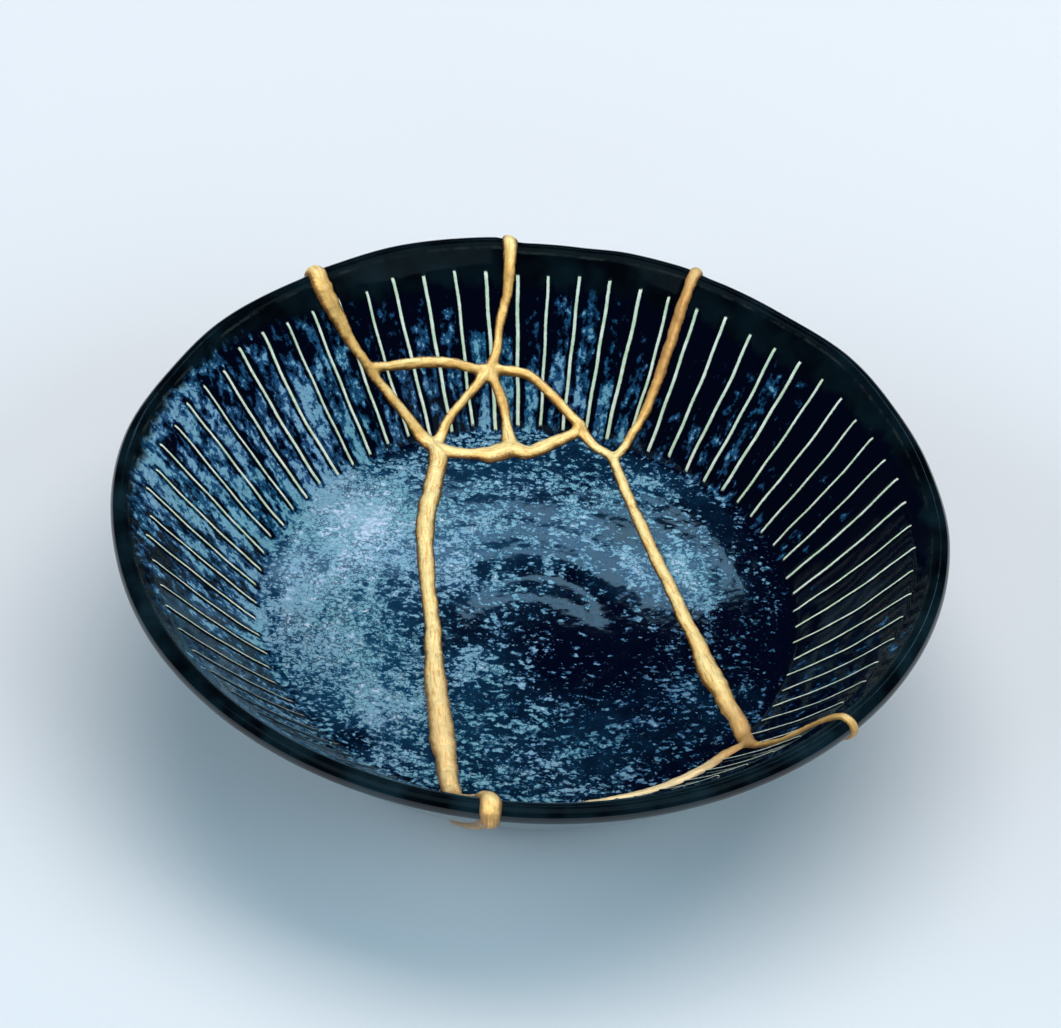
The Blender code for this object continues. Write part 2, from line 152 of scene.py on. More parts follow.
along = np.r_[0, np.cumsum(np.linalg.norm(np.diff(line, axis=0), axis=1))]
along -= along[np.argmax(line[:, 1])]
heading = unit(np.gradient(line, axis=0))
facing = np.column_stack([-heading[:, 1], heading[:, 0]])
print("outline:", len(line), "points; skin from", along[0].round(1), "to", along[-1].round(1), "mm")


def skin(s):
    """Radius, height and facing (outwards, upwards) at a distance along the skin."""
    return [np.interp(s, along, column) for column in (*line.T, *facing.T)]


def skin_distance(r, on_inside):
    """The distance along the skin of a radius, on the inside or the outside."""
    edge = np.argmax(line[:, 0])
    part = slice(0, edge + 1) if on_inside else slice(edge, None)
    order = np.argsort(line[part, 0])
    return np.interp(r, line[part, 0][order], along[part][order])


# %% [markdown]
# No rejoined bowl is quite round. Each shard sits a hair in or out of true, which shows as
# small steps in the rim where the gold crosses it, and the foot stands a little off centre.
# The same shifts are in the frame, so `settle` moves every finished point as the solids were.

# %% Out of true
FLOOR_SHIFT = 1.5
RIM_WAVE = np.array([
    (-180, 0.0), (-125, 0.1), (-104, -0.3), (-82, 0.2), (-67, -0.6), (-54, 0.1),
    (-40, -0.3), (-35, 0.5), (-22, 1.5), (-9, 1.3), (-4, -0.8), (4, -0.8), (12, 0.2),
    (20, 0.3), (25, -0.6), (37, -0.9), (50, 0.2), (64, -0.6), (75, -0.5), (90, 0.2), (180, 0.0),
])  # fmt: skip


def ease(t):
    t = np.clip(t, 0, 1)
    return t * t * (3 - 2 * t)


def rim_wave(bearing):
    """How far the rim stands out at each bearing."""
    k = np.clip(np.searchsorted(RIM_WAVE[:, 0], bearing, side="right") - 1, 0, len(RIM_WAVE) - 2)
    (b0, out0), (b1, out1) = RIM_WAVE[k].T, RIM_WAVE[k + 1].T
    return out0 + (out1 - out0) * ease((bearing - b0) / (b1 - b0))


def settle(points):
    """Points of the true round bowl, in mm, moved to where they lie on the rejoined one."""
    x, y, z = points.T
    share = z / HEIGHT
    off_floor = np.clip(np.hypot(x, y) / FLOOR_RADIUS, 0, 1)
    grow = 1 + rim_wave(np.degrees(np.arctan2(x, y))) * ease(share) / RIM_RADIUS * off_floor
    return np.column_stack([x * grow + FLOOR_SHIFT * (1 - share), y * grow, z])


print("rim out of round by", RIM_WAVE[:, 1].min(), "to", RIM_WAVE[:, 1].max(), "mm")

# %% [markdown]
# The pale lines down the wall are slip, trailed from a nozzle before glazing. They are not
# drawn with a ruler: each wanders a little, starts and stops where it likes and is a bit
# thicker or thinner. A seeded random table holds one row of habits for each stripe.

# %% Habits of the stripes
STRIPES, FIRST_STRIPE = 72, -5.4
STRIPE_HEIGHT = 0.34
habits = np.random.default_rng(7)
foot_at = 59.4 + habits.normal(0, 0.45, STRIPES)
head_at = 82.3 + habits.normal(0, 0.35, STRIPES)
bearings = np.radians(FIRST_STRIPE + np.arange(STRIPES) * 360 / STRIPES)
half_width = (0.27 + 0.11 * np.cos(bearings)) * habits.uniform(0.88, 1.12, STRIPES)
sway = habits.normal(0, 0.16, STRIPES)
sway_phase = habits.uniform(0, 6.28, STRIPES)


def stripe_wander(k, r):
    """How far stripe k has strayed from its bearing at a radius, in mm."""
    return sway[k] * np.sin(sway_phase[k] + r / 4.1) + 0.07 * np.sin(2.7 * sway_phase[k] + r / 1.3)


def from_stripe(bearing, r):
    """Distance from the nearest stripe's middle, and how far inside its ends a point is, in mm."""
    k = np.round((bearing - FIRST_STRIPE) / (360 / STRIPES)).astype(int)
    middle = FIRST_STRIPE + k * 360 / STRIPES
    k = k % STRIPES
    reach = np.maximum(r, 59)
    off = np.radians(bearing - middle) * reach - stripe_wander(k, r)
    run = np.minimum(r - foot_at[k], head_at[k] - r)
    return off, run, k


print("stripes:", STRIPES, "each", round(2 * half_width.mean(), 2), "mm wide on average")

# %% [markdown]
# The whole bowl is made once, as a grid of rings and spokes, before it breaks. Spokes crowd
# where a stripe needs them and are sparse between; rings crowd at the lip, the foot and the
# ends of the stripes.

# %% Rings and spokes
ACROSS = np.array([-1.5, -0.62, -0.47, -0.28, 0.0, 0.28, 0.47, 0.62, 1.5])
RING_GAPS = np.array([
    # distance along the skin, gap to the next ring
    (-200, 1.3), (-76, 1.3), (-70, 2.6), (-53, 2.4), (-50, 0.9), (-44, 0.9), (-42, 0.5),
    (-39, 0.7), (-36, 1.5), (-14, 1.5), (-12, 0.5), (-7, 0.5), (-4, 0.45), (4, 0.45), (7, 1.4),
    (30, 3.0), (44, 0.9), (50, 1.6), (58, 1.4), (62, 0.5), (76, 0.5), (84, 3.2), (200, 3.4),
])  # fmt: skip


def ring_distances():
    """Distances along the skin of every ring, closer where more happens."""
    s, found = along[0], []
    while s < along[-1]:
        found.append(s)
        s += np.interp(s, RING_GAPS[:, 0], RING_GAPS[:, 1])
    return np.array(found[1:-1])


rings = ring_distances()
r_ring, z_ring, out_ring, up_ring = skin(rings)
between = np.linspace(ACROSS[-1], 2 * math.pi * FLOOR_RADIUS / STRIPES - ACROSS[-1], 4)[1:-1]
share = (between - ACROSS[-1]) / (between[-1] + between[0] - 2 * ACROSS[-1])
print("rings:", len(rings), "spokes:", STRIPES * (len(ACROSS) + len(share)))

# %% [markdown]
# The surface stands out here and there from the plain outline: by the slip, by shallow
# throwing rings on the floor, by the soft ring of a well in its middle, and where the floor
# leans up to the wall at the right. `push` adds these up at any point.

# %% What lifts the surface
SLIP_SPREAD, SLIP_END = 0.16, 0.9
RING_SPACING, RING_DEPTH = 7.5, 0.007
WELL_RADIUS, WELL_CREST, WELL_WIDTH, WELL_OFF = 16.5, 0.10, 4.2, (1.5, -4.0)
LEAN_FROM, LEAN, LEAN_EASE = 33.0, 0.018, 3.0
INSIDE_ENDS, FLOOR_ENDS = -5, -42


def push(s, r, bearing):
    """How far the surface stands out from the plain outline, in mm."""
    off, run, k = from_stripe(bearing, r)
    crest = np.sqrt(np.clip(1 - (off / (half_width[k] + SLIP_SPREAD)) ** 2, 0, 1))
    on_inside = s < INSIDE_ENDS
    slip = STRIPE_HEIGHT * crest * ease(run / SLIP_END + 0.3) * on_inside
    spiral = r / RING_SPACING + bearing / 360
    x, y = plan(bearing, r)
    from_crest = np.hypot(x - WELL_OFF[0], y - WELL_OFF[1]) - WELL_RADIUS
    well = WELL_CREST * np.exp(-((from_crest / WELL_WIDTH) ** 2))
    well = well * (0.6 + 0.4 * np.cos(np.radians(bearing - 10)))
    thrown = RING_DEPTH * np.sin(2 * math.pi * spiral) * ease(r / 20) + well
    past = np.clip(x - LEAN_FROM, 0, None)
    lean = LEAN * past**2 / (past + LEAN_EASE) * (1 - ease((s - FLOOR_ENDS) / 20)) * on_inside
    return slip + thrown * (s < FLOOR_ENDS) + lean


print("slip stands", STRIPE_HEIGHT, "mm proud; the well's crest is", WELL_CREST, "mm high")

# %% [markdown]
# The grid is worked out with arrays, one row for each ring. A column that belongs to a stripe
# follows it in millimetres; a column between two stripes keeps its share of the space. A very
# slow noise then takes the last stiffness out of the form.

# %% Turn the bowl
WARP, WARP_SIZE, OFF_TABLE = 0.06, 24, 0.5


def slow_noise(points, size, seed):
    """Smooth noise at each point, with bumps of about a given size in mm."""
    shift = Vector((seed, 3.7 * seed, -1.9 * seed))
    return np.array([noise.noise(Vector(p) / size + shift) for p in points])


def spoke_bearings(r):
    """Bearings of every spoke on a ring, in the same order on each."""
    reach = max(r, 59)
    found = []
    for k in range(STRIPES):
        middle = FIRST_STRIPE + k * 360 / STRIPES
        near = np.degrees((ACROSS + stripe_wander(k, r)) / reach)
        after = np.degrees((ACROSS[0] + stripe_wander((k + 1) % STRIPES, r)) / reach) + 360 / STRIPES
        found += [*(middle + near), *(middle + near[-1] + (after - near[-1]) * share)]
    return np.array(found)


rows = []
for s, r, z, out, up in zip(rings, r_ring, z_ring, out_ring, up_ring):
    bearing = spoke_bearings(r)
    height = push(s, r, bearing)
    rows.append(np.column_stack([*plan(bearing, r + out * height), z + up * height]))
grid = np.array(rows)
n_rings, n_spokes = grid.shape[:2]
points = np.vstack([[[0, 0, line[0, 1]]], grid.reshape(-1, 3), [[0, 0, line[-1, 1]]]])
points[:, 2] += WARP * slow_noise(points, WARP_SIZE, 5) * (points[:, 2] > OFF_TABLE)
print("points in the bowl:", len(points))

# %% [markdown]
# Neighbouring rings are joined by quads, and a fan of triangles closes each end of the grid,
# at the centre of the floor and under the foot.

# %% Skin the grid
index = np.arange(n_rings * n_spokes).reshape(n_rings, n_spokes) + 1
beyond = np.roll(index, -1, axis=1)
quads = np.stack([index[:-1], index[1:], beyond[1:], beyond[:-1]], axis=-1).reshape(-1, 4)
centre_fan = np.column_stack([np.zeros(n_spokes, int), index[0], beyond[0]])
under_fan = np.column_stack([index[-1], np.full(n_spokes, len(points) - 1), beyond[-1]])
bowl_mesh = bpy.data.meshes.new("whole_bowl")
faces = [*centre_fan.tolist(), *quads.tolist(), *under_fan.tolist()]
bowl_mesh.from_pydata(points * MM, [], faces)
bowl = bpy.data.objects.new("whole_bowl", bowl_mesh)
bpy.context.scene.collection.objects.link(bowl)
bm = bmesh.new()
bm.from_mesh(bowl_mesh)
volume = bm.calc_volume(signed=True)
print("volume, cm3:", round(volume * 1e6, 1))
if volume < 0:
    bmesh.ops.reverse_faces(bm, faces=bm.faces)
bm.to_mesh(bowl_mesh)
bm.free()

# %% [markdown]
# A bowl breaks along curves that wander but turn gently. Each break is a smooth curve through
# a few marks, given by bearing, radius and the width of the gold over it. The marks where
# breaks meet are shared, so that the shards close up.

# %% Where it broke
RIM_EDGE = 89.87
MEET_LEFT = (-25.5, 56.2, 3.4)
MEET_TOP = (-10.8, 68.2, 2.2)
MEET_MIDDLE = (-7.3, 52.6, 4.6)
MEET_RIGHT = (8.6, 60.2, 2.6)
MEET_BRANCH = (17.8, 54.3, 2.2)
MEET_FRONT = (128.3, 62.3, 3)
MEET_NEAR = (191.5, 60.2, 3.8)
MEET_CHIP = (-33.8, 71.6, 2.4)
BREAKS = {
    "left_rim": (MEET_LEFT, (-29.1, 62.5, 2.6), (-31.8, 67.4, 2.1), MEET_CHIP, (-35.4, 75.6, 2.3),
        (-36.4, 79.9, 3.8), (-37.1, 84.3, 4.6), (-36.9, RIM_EDGE, 4.2)),
    "back_rim": (MEET_TOP, (-9.2, 70.9, 2.1), (-8.5, 74.5, 1.9), (-7.2, 78.7, 2.1), (-6.6, 83, 2.8),
        (-6.3, RIM_EDGE, 3.3)),
    "chip_top": (MEET_CHIP, (-29.7, 71, 2.1), (-23.8, 70.4, 2.4), (-18.3, 69.6, 2.6),
        (-14.4, 68.5, 2), MEET_TOP),
    "chip_side": (MEET_TOP, (-16.4, 64, 2), (-20.9, 61, 2), MEET_LEFT),
    "chip_middle": (MEET_TOP, (-8.9, 63.7, 2.4), (-8, 60, 2.1), MEET_MIDDLE),
    "chip_right": (MEET_TOP, (-4.1, 67.8, 2.1), (0.1, 65.7, 2.4), (4.3, 63, 2.2), MEET_RIGHT),
    "floor_back": (MEET_LEFT, (-22.5, 53.4, 3.2), (-17.5, 51.8, 3.4), (-12, 51.1, 4.4),
        MEET_MIDDLE, (-2.9, 51.8, 3.4), (1.7, 54.8, 3.6), MEET_RIGHT),
    "floor_left": (MEET_LEFT, (-26.7, 51.3, 4.2), (-34.7, 42.3, 4.2), (-45.3, 34.3, 4.1),
        (-59.5, 27.1, 3.6), (-83.2, 22, 3.4), (-114.3, 22, 3.6), (-137.8, 28, 4.4),
        (-152, 36.4, 4.9), (-158.9, 43.5, 5.1), (-163.6, 50.5, 4.4), MEET_NEAR,
        (-173, 70, 3.6), (-176.5, 80, 4), (-178.2, RIM_EDGE, 4.2)),
    "floor_right": (MEET_RIGHT, (12.4, 56.6, 2.2), MEET_BRANCH, (25.2, 46.6, 2.4), (36.8, 39.5, 2.6),
        (56.6, 34, 2.8), (71.1, 33.4, 2.8), (86.8, 34.7, 3), (99.8, 38.5, 3.7),
        (109.9, 43.1, 4.6), (117.5, 50, 4.4), (122.3, 55.9, 3.8), MEET_FRONT),
    "right_rim": (MEET_BRANCH, (20, 61.8, 2), (21.3, 66.7, 2.2), (21.9, 77.9, 2.6),
        (22, 83.7, 2.6), (22.1, RIM_EDGE, 2.8)),
    "front_rim": (MEET_FRONT, (130.9, 67.4, 2), (132.4, 74.8, 2), (130.9, 78.9, 2),
        (130.2, 83.7, 1.9), (129.8, RIM_EDGE, 2)),
    "front_wall": (MEET_FRONT, (131.9, 60.2, 3.6), (137.9, 60.5, 4), (144, 60.8, 3.6),
        (148.5, 59.8, 3), (156, 58.6, 2.2), (167, 58.8, 1.7), (180, 59.4, 1.8),
        MEET_NEAR),
}  # fmt: skip


def smooth_route(marks, step):
    """A smooth curve through the marks, as plan x, y and width at an even spacing."""
    p = np.array([(*plan(b, r), w) for b, r, w in marks])
    p = np.vstack([2 * p[0] - p[1], p, 2 * p[-1] - p[-2]])
    found = [p[1]]
    for p0, p1, p2, p3 in zip(p, p[1:], p[2:], p[3:]):
        for t in np.linspace(0, 1, 21)[1:]:
            bend = (2 * p0 - 5 * p1 + 4 * p2 - p3) * t**2 + (3 * p1 - p0 - 3 * p2 + p3) * t**3
            found.append(p1 + 0.5 * ((p2 - p0) * t + bend))
    found = np.array(found)
    return spaced(found[:, :2], found, step)[0]


routes = {name: smooth_route(marks, 1.0) for name, marks in BREAKS.items()}
print("length of all breaks, mm:", round(sum(len(route) - 1 for route in routes.values())))

# %% [markdown]
# Cutters and beads are both lofts: a run of equal closed sections, skinned and capped. A
# ribbon is the simplest, an upright strip that stands on a route.

# %% Lofts and ribbons
CRACK = 0.8


def add_loft(bm, sections):
    """Skins a run of equal closed sections, given in mm, and caps both ends."""
    loops = [[bm.verts.new(Vector(p) * MM) for p in section] for section in sections]
    for near, far in zip(loops, loops[1:]):
        for i in range(len(near)):
            j = (i + 1) % len(near)
            bm.faces.new((near[i], near[j], far[j], far[i]))
    bm.faces.new(reversed(loops[0]))
    bm.faces.new(loops[-1])


def add_bmesh(name, bm):
    """An object made of the bmesh, with its faces turned outwards."""
    bmesh.ops.recalc_face_normals(bm, faces=bm.faces)
    mesh = bpy.data.meshes.new(name)
    bm.to_mesh(mesh)
    bm.free()
    obj = bpy.data.objects.new(name, mesh)
    bpy.context.scene.collection.objects.link(obj)
    return obj


def sideways(route):
    """Unit plan vectors to the right of each station."""
    d = unit(np.gradient(route[:, :2], axis=0))
    return np.column_stack([d[:, 1], -d[:, 0]])


def ribbon(name, route, width, low, high, past_end):
    """A ribbon that follows a route between two heights at each station."""
    route = route[:, :2].copy()
    for end, before in ((0, 1), (-1, -2)):
        route[end] += unit(route[end] - route[before]) * past_end
    side = sideways(route) * width / 2
    bm = bmesh.new()
    add_loft(bm, [
        [(*(p + q), lo), (*(p - q), lo), (*(p - q), hi), (*(p + q), hi)]
        for p, q, lo, hi in zip(route, side, low, high)
    ])  # fmt: skip
    return add_bmesh(name, bm)


print("crack, mm:", CRACK)

# %% [markdown]
# To break the bowl, a ribbon is cut out of the clay along each route. The fast Manifold solver
# suits these large closed meshes. What is left falls into nine bodies.

# %% Break it
BELOW, ABOVE, OVERLAP = -5, 60, 0.35


def applied(obj):
    """The object with its modifiers turned into mesh."""
    bpy.context.view_layer.update()
    mesh = bpy.data.meshes.new_from_object(obj.evaluated_get(bpy.context.evaluated_depsgraph_get()))
    obj.modifiers.clear()
    old, obj.data = obj.data, mesh
    bpy.data.meshes.remove(old)
    return obj


cutters = []
for name, route in routes.items():
    low, high = np.full(len(route), BELOW), np.full(len(route), ABOVE)
    cutters.append(ribbon(f"cut_{name}", route, CRACK, low, high, OVERLAP))
    cut = bowl.modifiers.new(name, "BOOLEAN")
    cut.solver, cut.operation, cut.object = "MANIFOLD", "DIFFERENCE", cutters[-1]
applied(bowl)
for cutter in cutters:
    bpy.data.objects.remove(cutter)
print("faces after breaking:", len(bowl.data.polygons))

# %% [markdown]
# The finish has to know how far along the skin a point lies, and where it stands to its
# stripe. These are kept as notes on the mesh, one number for each point, and travel with it.

# %% Notes on a mesh
def coords(mesh):
    """The mesh's points in mm."""
    flat = np.empty(len(mesh.vertices) * 3, np.float32)
    mesh.vertices.foreach_get("co", flat)
    return flat.reshape(-1, 3).astype(float) / MM


def note(mesh, name, values):
    """Stores one number for each point."""
    attribute = mesh.attributes.new(name, "FLOAT", "POINT")
    attribute.data.foreach_set("value", np.asarray(values, np.float32))


def nearest_skin(points):
    """For points in mm: distance along the skin and height over it."""
    r, z = from_axis(points), points[:, 2]
    s, rise = np.empty(len(points)), np.empty(len(points))
    for start in range(0, len(points), 4000):
        part = slice(start, start + 4000)
        dr = r[part, None] - line[None, ::2, 0]
        dz = z[part, None] - line[None, ::2, 1]
        k = np.argmin(dr * dr + dz * dz, axis=1) * 2
        dr, dz = r[part] - line[k, 0], z[part] - line[k, 1]
        s[part] = along[k] + dr * heading[k, 0] + dz * heading[k, 1]
        rise[part] = dr * facing[k, 0] + dz * facing[k, 1]
    return s, rise


print("the centre lies at", nearest_skin(np.array([[0, 0, 9]]))[0][0].round(1), "mm along the skin")

# %% [markdown]
# The loose bodies are parted and named by a mark that lies on each. Once its notes are taken,
# each shard is moved to where it settled when the bowl was rejoined.

# %% Part the shards
SHARD_MARKS = {
    "shard_left": (-100, 70), "shard_back_left": (-22, 80), "shard_back_right": (8, 78),
    "shard_right": (80, 70), "shard_front_right": (155, 75), "shard_floor": (0, 20),
    "chip_upper": (-24, 66), "chip_lower_left": (-13, 58), "chip_lower_right": (-1, 59),
}  # fmt: skip
CREASE_ANGLE = math.radians(50)
bpy.ops.object.select_all(action="DESELECT")
bpy.context.view_layer.objects.active = bowl
bowl.select_set(True)
bpy.ops.mesh.separate(type="LOOSE")
bodies = list(bpy.context.selected_objects)

shards = {}
for name, (b, r) in SHARD_MARKS.items():
    mark = np.array([*plan(b, r), inner_height(r)])
    body = min(bodies, key=lambda o: np.linalg.norm(coords(o.data) - mark, axis=1).min())
    points = coords(body.data)
    s, _ = nearest_skin(points)
    bearing = np.degrees(np.arctan2(points[:, 0], points[:, 1]))
    off, run, k = from_stripe(bearing, from_axis(points))
    note(body.data, "skin", s)
    note(body.data, "stripe_off", np.clip(np.abs(off) - half_width[k] + 0.5, 0, 3))
    note(body.data, "stripe_side", np.clip(off, -1, 1))
    note(body.data, "stripe_run", np.where(s < INSIDE_ENDS, np.clip(run, -3, 3), -3))
    body.data.vertices.foreach_set("co", (settle(points) * MM).astype(np.float32).ravel())
    body.name = name.replace("shard_", "glazed_").replace("chip_", "glazed_chip_")
    body.data.shade_smooth()
    body.data.set_sharp_from_angle(angle=CREASE_ANGLE)
    shards[name] = body
    print(name, len(points), "points")

# %% [markdown]
# The gold is laid over each break as a bead of thick lacquer. A bead is drawn in the bowl's
# own terms, bearing and distance along the skin, so it hugs the glaze even where it climbs
# over the lip. `lay` puts a break's route on one face.

# %% Paths on the skin
def skin_points(bearing, s, height):
    """Points over the skin, in mm."""
    r, z, out, up = skin(s)
    return np.column_stack([*plan(bearing, r + out * height), z + up * height])


def lay(route, on_inside):
    """Bearing, skin distance and width of a route on one face."""
    bearing = np.degrees(np.unwrap(np.arctan2(route[:, 0], route[:, 1])))
    return np.column_stack([bearing, skin_distance(from_axis(route), on_inside), route[:, 2]])


def uneven(at, seed, size):
    """Noise along a bead, about -1 to 1, with bumps of a given length in mm."""
    return np.array([noise.noise(Vector((t / size, seed, 0.3 * seed))) for t in at]) * 1.8


print("the back rim's break starts at", lay(routes["back_rim"], True)[0].round(1))

# %% [markdown]
# At each station a half-round section is draped on the skin. Its two halves and its height
# swell and shrink on their own, as a hand-laid line of lacquer does, and its sides reach a
# little into the clay so that no gap shows.

# %% One bead
BEAD_RISE, SUNK, DOME_POINTS, BEAD_STEP = 0.33, 0.35, 9, 0.8
MELT_LOSS = 0.27


def bead(bm, path, seed):
    """A closed bead along a path of bearing, skin distance and width."""
    path, at = spaced(skin_points(path[:, 0], path[:, 1], 0), path, BEAD_STEP)
    bearing, s, width = path.T
    centre = skin_points(bearing, s, 0)
    across = np.cross(unit(np.gradient(centre, axis=0)), skin_points(bearing, s, 1) - centre)
    angle = np.radians(bearing)
    round_axis = np.column_stack([np.cos(angle), -np.sin(angle), np.zeros_like(angle)])
    down_skin = unit(skin_points(bearing, s + 0.5, 0) - skin_points(bearing, s - 0.5, 0))
    round_share, skin_share = (across * round_axis).sum(1), (across * down_skin).sum(1)
    r = np.maximum(skin(s)[0], 5)
    half = width / 2 + MELT_LOSS
    left_half = half * (1 + 0.12 * uneven(at, seed, 6) + 0.09 * uneven(at, seed + 9, 1.6))
    right_half = half * (1 + 0.12 * uneven(at, seed + 20, 6) + 0.09 * uneven(at, seed + 29, 1.6))
    tall = width * BEAD_RISE * (1 + 0.15 * uneven(at, seed + 40, 8)) + 0.12

    def edge_line(t, height):
        """A line along the bead, a share t of its half width to one side."""
        o = t * (left_half if t < 0 else right_half)
        return skin_points(bearing + np.degrees(o * round_share / r), s + o * skin_share, height)

    across_dome = np.linspace(-1, 1, DOME_POINTS)
    lines = [edge_line(t, tall * (1 - abs(t) ** 2.1) ** 0.7 + 0.04) for t in across_dome]
    lines += [edge_line(t, -SUNK) for t in (0.85, -0.85)]
    add_loft(bm, np.array(lines).transpose(1, 0, 2))


print("a 4 mm bead stands", round(4 * BEAD_RISE + 0.12, 2), "mm high before it melts")

# %% [markdown]
# A break that reaches the rim gets one bead, up the inside, over the lip and down the outside.
# The others get one bead on each face. Outside, the gold is left off where the foot ring
# stands, because it would lift the bowl off the table.

# %% Lay the beads
FOOT_RING, LIP_FROM, OUTSIDE_SHARE, SHORTEST = (37.0, 47.0), 84, 0.75, 3
bm = bmesh.new()
for seed, (name, route) in enumerate(routes.items()):
    inner_path, outer_path = lay(route, True), lay(route, False)
    radius = from_axis(route)
    outer_path[:, 2] *= np.where(radius > LIP_FROM, 1, OUTSIDE_SHARE)
    crosses_foot = radius.min() <= FOOT_RING[1]
    if BREAKS[name][-1][1] == RIM_EDGE:
        from_rim = outer_path[::-1]
        if crosses_foot:
            from_rim = from_rim[: np.argmax(radius[::-1] < FOOT_RING[1])]
        bead(bm, np.vstack([inner_path, from_rim]), seed)
        beaded = crosses_foot & (radius < FOOT_RING[1])
        beaded[: len(beaded) // 3] = crosses_foot
    else:
        bead(bm, inner_path, seed)
        beaded = np.ones(len(radius), bool)
    beaded &= (radius < FOOT_RING[0]) | (radius > FOOT_RING[1])
    starts = np.flatnonzero(beaded & ~np.r_[False, beaded[:-1]])
    stops = np.flatnonzero(beaded & ~np.r_[beaded[1:], False])
    for a, b in zip(starts, stops):
        if b - a > SHORTEST:
            bead(bm, outer_path[a : b + 1], seed + 60)
gold = add_bmesh("gold_bead", bm)
print("bead faces before joining:", len(gold.data.polygons))

# %% [markdown]
# Lacquer also fills the break itself, as a web a little wider than the crack. One voxel remesh
# melts beads and webs together, as wet lacquer does, and a light smoothing takes steps out.

# %% Melt it together
VOXEL, WEB_ENDS = 0.43, 88.6
bm = bmesh.new()
bm.from_mesh(gold.data)
for name, route in routes.items():
    route = route[from_axis(route) < WEB_ENDS]
    radius = from_axis(route)
    high, low = skin(skin_distance(radius, True))[1], skin(skin_distance(radius, False))[1]
    web = ribbon(f"web_{name}", route, CRACK + 0.1, low + 0.12, high - 0.1, 0.3)
    bm.from_mesh(web.data)
    bpy.data.objects.remove(web)
bm.to_mesh(gold.data)
bm.free()
melt = gold.modifiers.new("melt", "REMESH")
melt.mode, melt.voxel_size = "VOXEL", VOXEL * MM
soften = gold.modifiers.new("soften", "SMOOTH")
soften.factor, soften.iterations = 0.5, 4
applied(gold)
print("gold faces:", len(gold.data.polygons))

# %% [markdown]
# Lacquer dries lumpy. Two noises push the free surface in and out along its normals, and the
# gold then gets its own notes: height over the glaze, share of the bead's full height, and
# place across and along the bead, which the brush marks follow.

# %% Lumps and notes
LUMPS = ((0.16, 3.0, 2), (0.06, 1.1, 8))
points = coords(gold.data)
normals = np.empty(len(points) * 3, np.float32)
gold.data.vertices.foreach_get("normal", normals)
_, rise = nearest_skin(points)
lump = sum(height * slow_noise(points, size, seed) for height, size, seed in LUMPS)
points += normals.reshape(-1, 3) * (lump * ease(rise / 0.8))[:, None]
_, rise = nearest_skin(points)
stations = np.vstack([route[:, :2] for route in routes.values()])
widths = np.concatenate([route[:, 2] for route in routes.values()])
beside = np.vstack([sideways(route) for route in routes.values()])
nearest = np.concatenate([
    np.argmin(((points[i : i + 2000, None, :2] - stations) ** 2).sum(2), axis=1)
    for i in range(0, len(points), 2000)
])  # fmt: skip
gap = points[:, :2] - stations[nearest]
onward = np.column_stack([-beside[nearest, 1], beside[nearest, 0]])
note(gold.data, "rise", rise)
note(gold.data, "across", (gap * beside[nearest]).sum(1))
note(gold.data, "fullness", rise / (widths[nearest] * BEAD_RISE + 0.12))
note(gold.data, "along", nearest + (gap * onward).sum(1))
gold.data.vertices.foreach_set("co", (settle(points) * MM).astype(np.float32).ravel())
gold.data.shade_smooth()
print("highest gold over the glaze, mm:", rise.max().round(2))

# %% [markdown]
# Finishes are written as sums. `Wire` wraps a shader socket so that ordinary operators add
# Math nodes, and its `add` makes any other node from its type, settings and sockets.

# %% A wire that does sums
class Wire:
    """A shader socket that can be used in sums like a number."""

    def __init__(self, tree, socket=None):
        self.tree, self.socket = tree, socket

    def add(self, kind, settings=None, output=0, **sockets):
        """Any node: its settings first, then its sockets by name, or by number as i0, i1."""
        node = self.tree.nodes.new(kind)
        for name, value in (settings or {}).items():
            setattr(node, name, value)
        for name, value in sockets.items():
            key = int(name[1:]) if name[1:].isdigit() else name.replace("_", " ")
            if isinstance(value, Wire):
                self.tree.links.new(value.socket, node.inputs[key])
            else:
                node.inputs[key].default_value = value
        return Wire(self.tree, node.outputs[output])

    def math(self, operation, a, b=0.0):
        return self.add("ShaderNodeMath", {"operation": operation}, i0=a, i1=b)

    def __add__(self, other):
        return self.math("ADD", self, other)

    def __sub__(self, other):
        return self.math("SUBTRACT", self, other)

    def __rsub__(self, other):
        return self.math("SUBTRACT", other, self)

    def __mul__(self, other):
        return self.math("MULTIPLY", self, other)

    def __truediv__(self, other):
        return self.math("DIVIDE", self, other)

    __radd__, __rmul__ = __add__, __mul__

    def smooth(self, low, high):
        """0 below low, 1 above high, and an easy slope between."""
        return self.add("ShaderNodeMapRange", {"interpolation_type": "SMOOTHSTEP"}, Value=self,
                        From_Min=low, From_Max=high)  # fmt: skip

    def mix(self, a, b):
        """Colour a where this is 0 and colour b where it is 1."""
        return self.add("ShaderNodeMix", {"data_type": "RGBA"}, 2, i0=self, i6=a, i7=b)

    def vector(self, operation, a, b=(0, 0, 0), output=0):
        return self.add("ShaderNodeVectorMath", {"operation": operation}, output, i0=a, i1=b)

    def noise(self, vector, size, detail=2.0, rough=0.5):
        """Noise with lumps of about a given size, mostly between 0.2 and 0.8."""
        return self.add("ShaderNodeTexNoise", None, Vector=vector, Scale=1 / size, Detail=detail,
                        Roughness=rough)  # fmt: skip

    def note(self, name):
        """A number that was stored on the mesh."""
        return self.add("ShaderNodeAttribute", {"attribute_name": name}, 2)

    def near(self, x, y, full, gone):
        """For a plan: 1 within `full` mm of a place, easing to 0 at `gone` mm."""
        return 1 - self.vector("DISTANCE", self, (x, y, 0), output=1).smooth(full, gone)


def new_finish(name):
    """An empty material with its shader, and a wire to write it with."""
    material = bpy.data.materials.new(name)
    material.use_nodes = True
    return material, material.node_tree.nodes["Principled BSDF"], Wire(material.node_tree)


